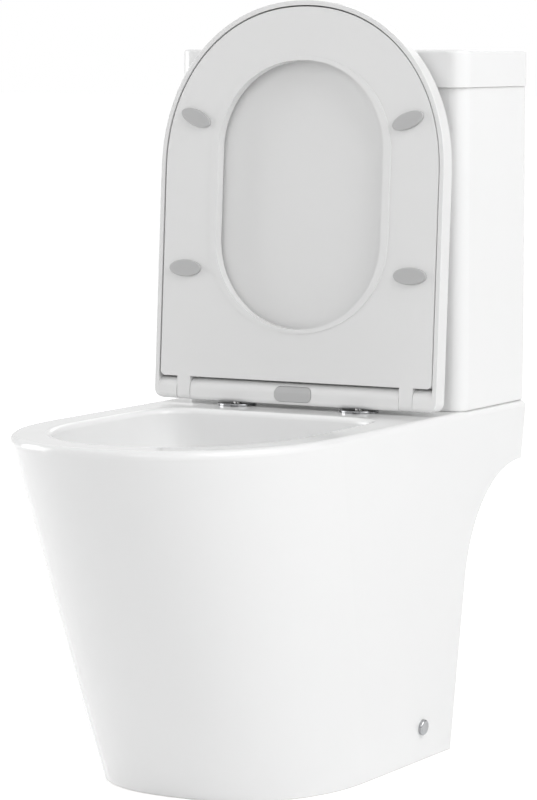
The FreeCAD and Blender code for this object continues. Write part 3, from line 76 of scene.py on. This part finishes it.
def noise(tree, spot, scale, detail=1.0, roughness=0.5):
    """Soft noise on a piece's own coordinates."""
    wires = {"Vector": spot, "Scale": scale, "Detail": detail, "Roughness": roughness}
    return place(tree, "ShaderNodeTexNoise", wires).outputs["Fac"]


def sums(tree, operation, first, second):
    """One arithmetic node."""
    return place(tree, "ShaderNodeMath", {0: first, 1: second}, operation=operation).outputs[0]


def spread(tree, value, low, high, from_low=0.0, from_high=1.0):
    """Brings a mask or a noise into another range, held at both ends."""
    wires = {"Value": value, "From Min": from_low, "From Max": from_high,
             "To Min": low, "To Max": high}
    return place(tree, "ShaderNodeMapRange", wires).outputs["Result"]


def tint(tree, mask, first, second):
    """A colour between two, by a mask."""
    mix = place(tree, "ShaderNodeMix", {"Factor": mask}, data_type="RGBA")
    for socket, colour in (("A", first), ("B", second)):
        end = next(s for s in mix.inputs if s.name == socket and s.type == "RGBA")
        if isinstance(colour, bpy.types.NodeSocket):
            tree.links.new(colour, end)
        else:
            end.default_value = (*colour, 1.0)
    return next(s for s in mix.outputs if s.type == "RGBA")


def new_finish(name, **shader_values):
    """A material with one Principled shader set to plain values."""
    finish = bpy.data.materials.new(name)
    finish.use_nodes = True
    tree = finish.node_tree
    shader = tree.nodes["Principled BSDF"]
    for socket, value in shader_values.items():
        shader.inputs[socket.replace("_", " ")].default_value = value
    spot = place(tree, "ShaderNodeTexCoord").outputs["Object"]
    return finish, tree, shader.inputs, spot


def wire(tree, shader, colour=None, roughness=None, height=None, millimetres=1.0):
    """Leads a finish's colour, roughness and relief to its shader."""
    if colour is not None:
        tree.links.new(colour, shader["Base Color"])
    if roughness is not None:
        tree.links.new(roughness, shader["Roughness"])
    if height is not None:
        wires = {"Strength": 1.0, "Distance": millimetres / 1000, "Height": height}
        bump = place(tree, "ShaderNodeBump", wires)
        tree.links.new(bump.outputs["Normal"], shader["Normal"])


def dress(finish, *names):
    """Gives CAD nodes their finish."""
    for name in names:
        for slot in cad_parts[name].material_slots:
            slot.link = "OBJECT"
            slot.material = finish


glaze_skin, ends_in, ends_out = shared_effect(
    "glaze_skin",
    [("Spot", "NodeSocketVector", None), ("Ripple", "NodeSocketFloat", 1.0)],
    [("Cloud", "NodeSocketFloat"), ("Relief", "NodeSocketFloat")],
)
pool_scale, swell_scale, peel_scale = 5.0, 24.0, 170.0
swell_height, peel_height = 0.10, 0.010
pool = noise(glaze_skin, ends_in["Spot"], pool_scale, 2.0)
swell = noise(glaze_skin, ends_in["Spot"], swell_scale, 0.0)
peel = noise(glaze_skin, ends_in["Spot"], peel_scale, 1.0)
glaze_skin.links.new(spread(glaze_skin, pool, 0.0, 1.0, 0.15, 0.85), ends_out["Cloud"])
ripple = sums(glaze_skin, "ADD", sums(glaze_skin, "MULTIPLY", swell, swell_height),
              sums(glaze_skin, "MULTIPLY", peel, peel_height))
glaze_skin.links.new(sums(glaze_skin, "MULTIPLY", ripple, ends_in["Ripple"]), ends_out["Relief"])

glaze_white = (0.885, 0.886, 0.885)
glaze_pooled = (0.872, 0.874, 0.874)
glaze_gloss = (0.075, 0.12)
bare_clay = (0.79, 0.775, 0.75)
clay_speck = [channel * 0.9 for channel in bare_clay]
clay_dullness = 0.7
clay_grit_scale, clay_grit_height = 900.0, 0.08
bare_edge_fade, bare_edge_wander = 0.0003, 0.0002


def glazed(name, bare_below):
    """White glaze, bare clay below a height where the piece stands in the kiln."""
    finish, tree, shader, spot = new_finish(name, IOR=1.5)
    skin = place(tree, "ShaderNodeGroup", node_tree=glaze_skin)
    tree.links.new(spot, skin.inputs["Spot"])
    height = place(tree, "ShaderNodeSeparateXYZ", {0: spot}).outputs["Z"]
    wander = spread(tree, noise(tree, spot, 60.0, 2.0), -bare_edge_wander, bare_edge_wander)
    edge = sums(tree, "ADD", height, wander)
    bare = spread(tree, edge, 1.0, 0.0, bare_below, bare_below + bare_edge_fade)
    grit = noise(tree, spot, clay_grit_scale, 2.0)
    clay = tint(tree, grit, bare_clay, clay_speck)
    white = tint(tree, skin.outputs["Cloud"], glaze_white, glaze_pooled)
    shine = spread(tree, skin.outputs["Cloud"], *glaze_gloss)
    dull = spread(tree, bare, 0.0, clay_dullness)
    relief = sums(tree, "ADD", skin.outputs["Relief"],
                  sums(tree, "MULTIPLY", sums(tree, "MULTIPLY", grit, bare), clay_grit_height))
    wire(tree, shader, tint(tree, bare, white, clay), sums(tree, "ADD", shine, dull), relief)
    return finish


pan_bare_foot = 0.0005
dress(glazed("pan_glaze", pan_bare_foot), "pan")


# The side fixings hold the pan to two zinc-plated steel angles on the floor.
# Each screw passes the china wall and takes a moulded base, and a polished
# chrome cap snaps over the base and hides the screw.
metal_skin, ends_in, ends_out = shared_effect(
    "metal_skin",
    [("Spot", "NodeSocketVector", None), ("Along", "NodeSocketVector", (1.0, 1.0, 1.0))],
    [("Cloud", "NodeSocketFloat"), ("Lines", "NodeSocketFloat")],
)
cloud_scale, line_scale = 90.0, 1400.0
stretched = place(metal_skin, "ShaderNodeVectorMath",
                  {0: ends_in["Spot"], 1: ends_in["Along"]}, operation="MULTIPLY").outputs[0]
clouding = noise(metal_skin, ends_in["Spot"], cloud_scale, 3.0)
metal_skin.links.new(spread(metal_skin, clouding, 0.0, 1.0, 0.3, 0.7), ends_out["Cloud"])
metal_skin.links.new(noise(metal_skin, stretched, line_scale, 2.0), ends_out["Lines"])


upright_lines = (1.0, 1.0, 0.04)


def metal(name, bright, dark, polish, depth=0.004):
    """A metal with faint clouding and fine lines along the way it was worked."""
    finish, tree, shader, spot = new_finish(name, Metallic=1.0)
    skin = place(tree, "ShaderNodeGroup", node_tree=metal_skin)
    tree.links.new(spot, skin.inputs["Spot"])
    skin.inputs["Along"].default_value = upright_lines
    colour = tint(tree, skin.outputs["Cloud"], bright, dark)
    both = sums(tree, "MULTIPLY", skin.outputs["Cloud"], skin.outputs["Lines"])
    wire(tree, shader, colour, spread(tree, both, *polish),
         skin.outputs["Lines"], depth)
    return finish


crystal_scale, zinc_grain_scale, zinc_depth = 260.0, 500.0, 0.01
zinc_bright, zinc_dark = (0.62, 0.63, 0.65), (0.48, 0.49, 0.51)


def spangled(name):
    """Zinc plating, with the patches of crystals that it sets in."""
    finish, tree, shader, spot = new_finish(name, Metallic=0.9)
    wires = {"Vector": spot, "Scale": crystal_scale}
    crystal = place(tree, "ShaderNodeTexVoronoi", wires).outputs["Color"]
    patch = place(tree, "ShaderNodeSeparateColor", {0: crystal}).outputs[0]
    wire(tree, shader, tint(tree, patch, zinc_bright, zinc_dark),
         spread(tree, patch, 0.28, 0.5), noise(tree, spot, zinc_grain_scale), zinc_depth)
    return finish


moulded_skin, ends_in, ends_out = shared_effect(
    "moulded_skin",
    [("Spot", "NodeSocketVector", None), ("Grain", "NodeSocketFloat", 800.0)],
    [("Flow", "NodeSocketFloat"), ("Relief", "NodeSocketFloat")],
)
flow_scale, flow_swirl = 9.0, 0.2
flow = place(moulded_skin, "ShaderNodeTexNoise",
             {"Vector": ends_in["Spot"], "Scale": flow_scale, "Detail": 1.0,
              "Distortion": flow_swirl})
moulded_skin.links.new(spread(moulded_skin, flow.outputs["Fac"], 0.0, 1.0, 0.1, 0.9),
                       ends_out["Flow"])
fine = place(moulded_skin, "ShaderNodeTexNoise",
             {"Vector": ends_in["Spot"], "Scale": ends_in["Grain"], "Detail": 1.0})
moulded_skin.links.new(fine.outputs["Fac"], ends_out["Relief"])


def moulding(name, colour, shade, gloss, grain=800.0, depth=0.006):
    """Injection-moulded plastic or rubber: flow clouds and the mould's grain."""
    finish, tree, shader, spot = new_finish(name)
    skin = place(tree, "ShaderNodeGroup", node_tree=moulded_skin)
    tree.links.new(spot, skin.inputs["Spot"])
    skin.inputs["Grain"].default_value = grain
    wire(tree, shader, tint(tree, skin.outputs["Flow"], colour, shade),
         spread(tree, skin.outputs["Flow"], *gloss), skin.outputs["Relief"], depth)
    return finish


steel = metal("brushed_steel", (0.62, 0.62, 0.61), (0.52, 0.52, 0.515), (0.18, 0.38))
chrome_depth = 0.0008
# The side caps' chrome is painted darker than polished chrome, a painted dark reflection on the
# caps.
cap_chrome_painted_dark = metal("cap_chrome_painted_dark", (0.42, 0.425, 0.435), (0.36, 0.365, 0.375),
                   (0.04, 0.12), chrome_depth)
grey_plastic = moulding("grey_moulding", (0.50, 0.52, 0.53), (0.46, 0.48, 0.49), (0.35, 0.5))
dress(spangled("zinc_plate"), "floor_brackets")
dress(steel, "side_screws")
dress(grey_plastic, "cap_bases")
dress(cap_chrome_painted_dark, "side_caps")


# The cistern is a second casting. A soft black ring seals it on the pan, and
# two brass bolts pull it down through rubber cones, with steel washers and
# plastic wing nuts under the shelf.
cistern_bare_foot = 0.3998
rubber = moulding("black_rubber", (0.030, 0.030, 0.032), (0.045, 0.045, 0.047),
                  (0.5, 0.7), 600.0, 0.03)
white_plastic = moulding("white_moulding", (0.78, 0.79, 0.78), (0.74, 0.75, 0.745),
                         (0.32, 0.45))
brass = metal("turned_brass", (0.72, 0.53, 0.22), (0.60, 0.43, 0.17), (0.16, 0.34))
dress(glazed("cistern_glaze", cistern_bare_foot), "cistern_body")
dress(rubber, "doughnut_seal", "bolt_washers")
dress(brass, "cistern_bolts")
dress(steel, "plate_washers")
dress(white_plastic, "bolt_wing_nuts")


# The flush valve stands in the cistern's outlet: a white moulded base and
# tower, an overflow pipe, and inside them a grey stem that carries the black
# seal. A blue lever on a steel pin lifts the stem, and a blue plunger sits by.
blue_plastic = moulding("blue_moulding", (0.10, 0.26, 0.50), (0.085, 0.23, 0.46), (0.28, 0.42))
dress(white_plastic, "flush_valve_base", "valve_backnut", "valve_tower", "tower_cap",
      "overflow_pipe")
dress(rubber, "valve_gasket", "seal_disc")
dress(grey_plastic, "valve_stem", "stem_float")
dress(steel, "lever_pin")
dress(blue_plastic, "flush_lever", "half_flush_plunger")


# The fill valve stands on its own tail, clamped through the cistern's floor.
# A float rides its column on a rod and tips the arm that shuts the valve.
dress(white_plastic, "fill_valve_body", "fill_backnut", "float_arm")
dress(rubber, "fill_washer")
dress(blue_plastic, "fill_cap")
dress(steel, "arm_pin")
dress(grey_plastic, "fill_float")


# The lid is a china casting too, bare on the edge that it rests on. A chrome
# housing is clamped in its hole by a white nut and carries two buttons, the
# larger for a full flush, each on a coil spring that a press closes up.
lid_bare_edge = 0.7682
chrome = metal("polished_chrome", (0.52, 0.525, 0.535), (0.47, 0.475, 0.485),
               (0.03, 0.09), chrome_depth)
dress(glazed("lid_glaze", lid_bare_edge), "cistern_lid")
dress(chrome, "button_housing", "full_flush_button", "half_flush_button")
dress(white_plastic, "housing_nut")
dress(grey_plastic, "full_flush_rod", "half_flush_rod")


def add_piece(name, mesh, finish, body):
    """Adds a mesh with one finish as a piece on a body."""
    mesh.materials.clear()
    mesh.materials.append(finish)
    mesh.polygons.foreach_set("material_index", [0] * len(mesh.polygons))
    piece = bpy.data.objects.new(name, mesh)
    bpy.context.scene.collection.objects.link(piece)
    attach(piece, body)
    return piece


weld_gap = 1e-6


def closing_coil(name, node, body):
    """A welded, smooth-shaded copy of a spring's coil, put on its body in the CAD coil's place.
    """
    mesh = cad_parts[node].data.copy()
    wire_skin = bmesh.new()
    wire_skin.from_mesh(mesh)
    bmesh.ops.remove_doubles(wire_skin, verts=wire_skin.verts, dist=weld_gap)
    wire_skin.to_mesh(mesh)
    wire_skin.free()
    if "custom_normal" in mesh.attributes:
        mesh.attributes.remove(mesh.attributes["custom_normal"])
    mesh.shade_smooth()
    coil = add_piece(name, mesh, steel, body)
    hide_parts(node)
    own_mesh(coil)


closing_coil("full_flush_coil", "full_flush_spring", "lid")
closing_coil("half_flush_coil", "half_flush_spring", "lid")


# The hinge stands on two steel posts in polished rosettes. A white bar sits
# on them, with a damper and a pin in each end, and a grey button in its
# middle lets the whole seat lift off.
seat_plastic = moulding("seat_plastic", (0.805, 0.805, 0.803), (0.795, 0.796, 0.794),
                        (0.20, 0.28), 420.0, 0.004)
pad_grey = moulding("pad_grey", (0.50, 0.501, 0.502), (0.475, 0.476, 0.477), (0.45, 0.6),
                    700.0, 0.012)
# The rosettes' chrome is painted darker than polished chrome: painted shade and dark reflections
# from under the hinge bar.
chrome_painted_dark = metal("chrome_painted_dark", (0.30, 0.303, 0.31), (0.24, 0.243, 0.25),
                    (0.08, 0.18), chrome_depth)
dress(chrome_painted_dark, "rosettes")
dress(steel, "hinge_posts", "hinge_pins")
dress(rubber, "seat_cones")
dress(white_plastic, "seat_wing_nuts")
dress(seat_plastic, "hinge_bar")
dress(grey_plastic, "soft_close_dampers")
dress(pad_grey, "release_button")
closing_coil("release_coil", "release_spring", "seat_unit")


# The seat is a thick moulding of hard white plastic, smooth and half glossy.
# Four grey oval pads are pressed into its underside and rest on the rim.
dress(seat_plastic, "seat_ring")
dress(pad_grey, "seat_pads")


# The cover is a shallow tray of the same plastic that closes over the seat,
# with small round pads inside that land on the seat's top.
dress(seat_plastic, "seat_cover")
dress(pad_grey, "cover_pads")


# The studs, the bolts and the two valve tails carry threads, rolled in steel
# and brass and moulded on the tails. Each is a ridge that winds down its shank
# below the deck, where the nuts are run up.
thread_ridge = bpy.data.node_groups.new("thread_ridge", "GeometryNodeTree")
for label, kind, value in (("Shank Radius", "NodeSocketFloat", 0.004),
                           ("Ridge Height", "NodeSocketFloat", 0.0003),
                           ("Pitch", "NodeSocketFloat", 0.00125),
                           ("Thread Length", "NodeSocketFloat", 0.03),
                           ("First Shank", "NodeSocketVector", (0.0, 0.0, 0.0)),
                           ("Step To Next", "NodeSocketVector", (0.0, 0.0, 0.0)),
                           ("Shanks", "NodeSocketInt", 1),
                           ("Points Per Turn", "NodeSocketInt", 20),
                           ("Finish", "NodeSocketMaterial", None)):
    socket = thread_ridge.interface.new_socket(label, in_out="INPUT", socket_type=kind)
    if value is not None:
        socket.default_value = value
thread_ridge.interface.new_socket("Geometry", in_out="OUTPUT", socket_type="NodeSocketGeometry")
sizes_in = place(thread_ridge, "NodeGroupInput").outputs
turns = sums(thread_ridge, "DIVIDE", sizes_in["Thread Length"], sizes_in["Pitch"])
helix = place(thread_ridge, "GeometryNodeCurveSpiral",
              {"Resolution": sizes_in["Points Per Turn"], "Rotations": turns,
               "Start Radius": sizes_in["Shank Radius"], "End Radius": sizes_in["Shank Radius"],
               "Height": sizes_in["Thread Length"], "Reverse": True})
level = place(thread_ridge, "GeometryNodeSetCurveNormal", {"Curve": helix.outputs["Curve"]},
              mode="Z_UP")
wedge = place(thread_ridge, "GeometryNodeCurvePrimitiveCircle",
              {"Resolution": 3, "Radius": sizes_in["Ridge Height"]})
crest_out = place(thread_ridge, "GeometryNodeTransform",
                  {"Geometry": wedge.outputs["Curve"], "Rotation": (0.0, 0.0, math.pi)})
ridge = place(thread_ridge, "GeometryNodeCurveToMesh",
              {"Curve": level.outputs["Curve"], "Profile Curve": crest_out.outputs["Geometry"],
               "Fill Caps": True})
shanks = place(thread_ridge, "GeometryNodeMeshLine",
               {"Count": sizes_in["Shanks"], "Start Location": sizes_in["First Shank"],
                "Offset": sizes_in["Step To Next"]})
copies = place(thread_ridge, "GeometryNodeInstanceOnPoints",
               {"Points": shanks.outputs["Mesh"], "Instance": ridge.outputs["Mesh"]})
whole = place(thread_ridge, "GeometryNodeRealizeInstances",
              {"Geometry": copies.outputs["Instances"]})
coated = place(thread_ridge, "GeometryNodeSetMaterial",
               {"Geometry": whole.outputs["Geometry"], "Material": sizes_in["Finish"]})
place(thread_ridge, "NodeGroupOutput", {"Geometry": coated.outputs["Geometry"]})


def thread(name, body, sizes):
    """Winds a thread down one shank, or down a row of like shanks."""
    base = bpy.data.objects.new(name, bpy.data.meshes.new(name))
    bpy.context.scene.collection.objects.link(base)
    winding = base.modifiers.new("winding", "NODES")
    winding.node_group = thread_ridge
    for socket in thread_ridge.interface.items_tree:
        if socket.in_out == "INPUT" and socket.name in sizes:
            winding[socket.identifier] = sizes[socket.name]
    ready = base.evaluated_get(bpy.context.evaluated_depsgraph_get())
    mesh = bpy.data.meshes.new_from_object(ready)
    bpy.data.objects.remove(base)
    add_piece(name, mesh, sizes["Finish"], body)


thread("stud_threads", "toilet",
       {"Shank Radius": 0.004, "Pitch": 0.00125, "Thread Length": 0.020, "Shanks": 2,
        "First Shank": (-0.080, 0.1155, 0.3460), "Step To Next": (0.160, 0.0, 0.0),
        "Finish": steel})
thread("bolt_threads", "toilet",
       {"Shank Radius": 0.004, "Pitch": 0.00125, "Thread Length": 0.020, "Shanks": 2,
        "First Shank": (-0.082, 0.2495, 0.3547), "Step To Next": (0.164, 0.0, 0.0),
        "Finish": brass})
thread("inlet_thread", "toilet",
       {"Shank Radius": 0.0104, "Ridge Height": 0.0005, "Pitch": 0.0018, "Thread Length": 0.032,
        "First Shank": (-0.125, 0.2495, 0.3515), "Points Per Turn": 40, "Finish": white_plastic})
thread("flush_tail_thread", "toilet",
       {"Shank Radius": 0.030, "Ridge Height": 0.0006, "Pitch": 0.0024, "Thread Length": 0.0084,
        "First Shank": (0.0, 0.2495, 0.3812), "Points Per Turn": 72, "Finish": white_plastic})
thread("housing_thread", "lid",
       {"Shank Radius": 0.0206, "Ridge Height": 0.0004, "Pitch": 0.0020, "Thread Length": 0.028,
        "First Shank": (0.0, 0.2495, 0.7655), "Points Per Turn": 60, "Finish": chrome})


# The studio is a wide white floor in even white light, with large soft lamps
# on the right and the left and weaker ones in front and behind. Cards out of
# the picture, seen only in reflections, paint dark and pale reflections on the glaze and the
# chrome.
floor_reach, floor_drop = 40.0, 0.0003
floor_white = (0.86, 0.86, 0.86, 1.0)
near_glow, far_glow = 0.40, 0.63
glow_from, glow_to = 0.9, 4.0
white = (1.0, 1.0, 1.0, 1.0)
floor_mesh = bpy.data.meshes.new("studio_floor")
floor_mesh.from_pydata([(-floor_reach, -floor_reach, 0.0), (floor_reach, -floor_reach, 0.0),
                        (floor_reach, floor_reach, 0.0), (-floor_reach, floor_reach, 0.0)],
                       [], [(0, 1, 2, 3)])
studio_floor = bpy.data.objects.new("studio_floor", floor_mesh)
studio_floor.location.z = -floor_drop
bpy.context.scene.collection.objects.link(studio_floor)

floor_finish, tree, shader, spot = new_finish("floor_paper", Roughness=0.9)
shader["Base Color"].default_value = floor_white
rays = place(tree, "ShaderNodeLightPath").outputs
seen = sums(tree, "MAXIMUM", rays["Is Camera Ray"],
            sums(tree, "MAXIMUM", rays["Is Glossy Ray"], rays["Is Transmission Ray"]))
distance = place(tree, "ShaderNodeVectorMath", {0: spot}, operation="LENGTH").outputs["Value"]
glow = spread(tree, distance, near_glow, far_glow, glow_from, glow_to)
tree.links.new(sums(tree, "MULTIPLY", seen, glow), shader["Emission Strength"])
shader["Emission Color"].default_value = white
floor_mesh.materials.append(floor_finish)

even_light = 0.40
world = bpy.data.worlds.new("white_studio")
world.use_nodes = True
tree = world.node_tree
rays = place(tree, "ShaderNodeLightPath").outputs
seen = sums(tree, "MAXIMUM", rays["Is Camera Ray"],
            sums(tree, "MAXIMUM", rays["Is Glossy Ray"], rays["Is Transmission Ray"]))
tree.links.new(spread(tree, seen, even_light, 1.0), tree.nodes["Background"].inputs["Strength"])
tree.nodes["Background"].inputs["Color"].default_value = white
bpy.context.scene.world = world


def soft_lamp(name, at, width, watts):
    """A square soft box that points at the pan's rim."""
    light = bpy.data.lights.new(name, "AREA")
    light.shape = "SQUARE"
    light.size = width
    light.energy = watts
    lamp = bpy.data.objects.new(name, light)
    lamp.location = at
    lamp.rotation_euler = (lamp_aim - Vector(at)).to_track_quat("-Z", "Y").to_euler()
    bpy.context.scene.collection.objects.link(lamp)


lamp_aim = Vector((0.0, 0.0, 0.4))
soft_lamp("right_soft_box", (3.0, -0.4, 3.0), width=3.4, watts=98.0)
soft_lamp("front_soft_box", (0.6, -4.2, 2.6), width=2.0, watts=22.0)
soft_lamp("camera_side_soft_box", (2.3, -3.7, 2.0), width=2.8, watts=11.0)
soft_lamp("left_soft_box", (-4.0, -0.6, 1.4), width=2.6, watts=76.0)
soft_lamp("back_soft_box", (-1.0, 4.2, 2.2), width=2.0, watts=12.0)


def card(name, left, right, bottom, top, shade, glow=0.0):
    """A card out of the picture, seen only in reflections: a painted reflection for the china
    and the chrome to mirror.
    """
    mesh = bpy.data.meshes.new(name)
    mesh.from_pydata([(*left, bottom), (*right, bottom), (*right, top), (*left, top)],
                     [], [(0, 1, 2, 3)])
    board = bpy.data.objects.new(name, mesh)
    finish, tree, shader, spot = new_finish(name, Roughness=0.9)
    paint = tint(tree, noise(tree, spot, 3.0), [shade] * 3, [shade * 0.96] * 3)
    # A glowing card is painted light that only reflections show.
    if glow:
        shader["Base Color"].default_value = (0.0, 0.0, 0.0, 1.0)
        shader["Emission Strength"].default_value = glow
        tree.links.new(paint, shader["Emission Color"])
    else:
        wire(tree, shader, paint)
    mesh.materials.append(finish)
    # The card is hidden from the camera, from diffuse light and from shadows, so it is only a
    # painted reflection.
    board.visible_camera = False
    board.visible_diffuse = False
    board.visible_shadow = False
    bpy.context.scene.collection.objects.link(board)


reflection_dark_tone, reflection_pale_tone = 0.025, 0.85
# Two near-black cards paint dark reflections, and a glowing pale card paints a pale one.
card("front_dark_reflection_card", left=(-1.0, -5.0), right=(3.5, -5.0), bottom=0.3, top=1.5, shade=reflection_dark_tone)
card("back_dark_reflection_card", left=(1.4, 4.0), right=(2.6, 3.4), bottom=1.8, top=3.2, shade=reflection_dark_tone)
card("pale_glowing_reflection_card", left=(-6.43, 3.24), right=(0.53, 7.16), bottom=0.02, top=2.2,
     shade=reflection_pale_tone, glow=1.0)

looks_down, turns_left = 5.982, 29.385
camera = bpy.data.cameras.new("camera")
camera.sensor_width = 36.0
camera.lens = 155.39
camera.clip_end = 100.0
viewpoint = bpy.data.objects.new("camera", camera)
viewpoint.location = (1.909, -3.3428, 0.8237)
viewpoint.rotation_euler = (math.radians(90.0 - looks_down), 0.0, math.radians(turns_left))
bpy.context.scene.collection.objects.link(viewpoint)
bpy.context.scene.camera = viewpoint
bpy.context.scene.view_settings.view_transform = "Standard"
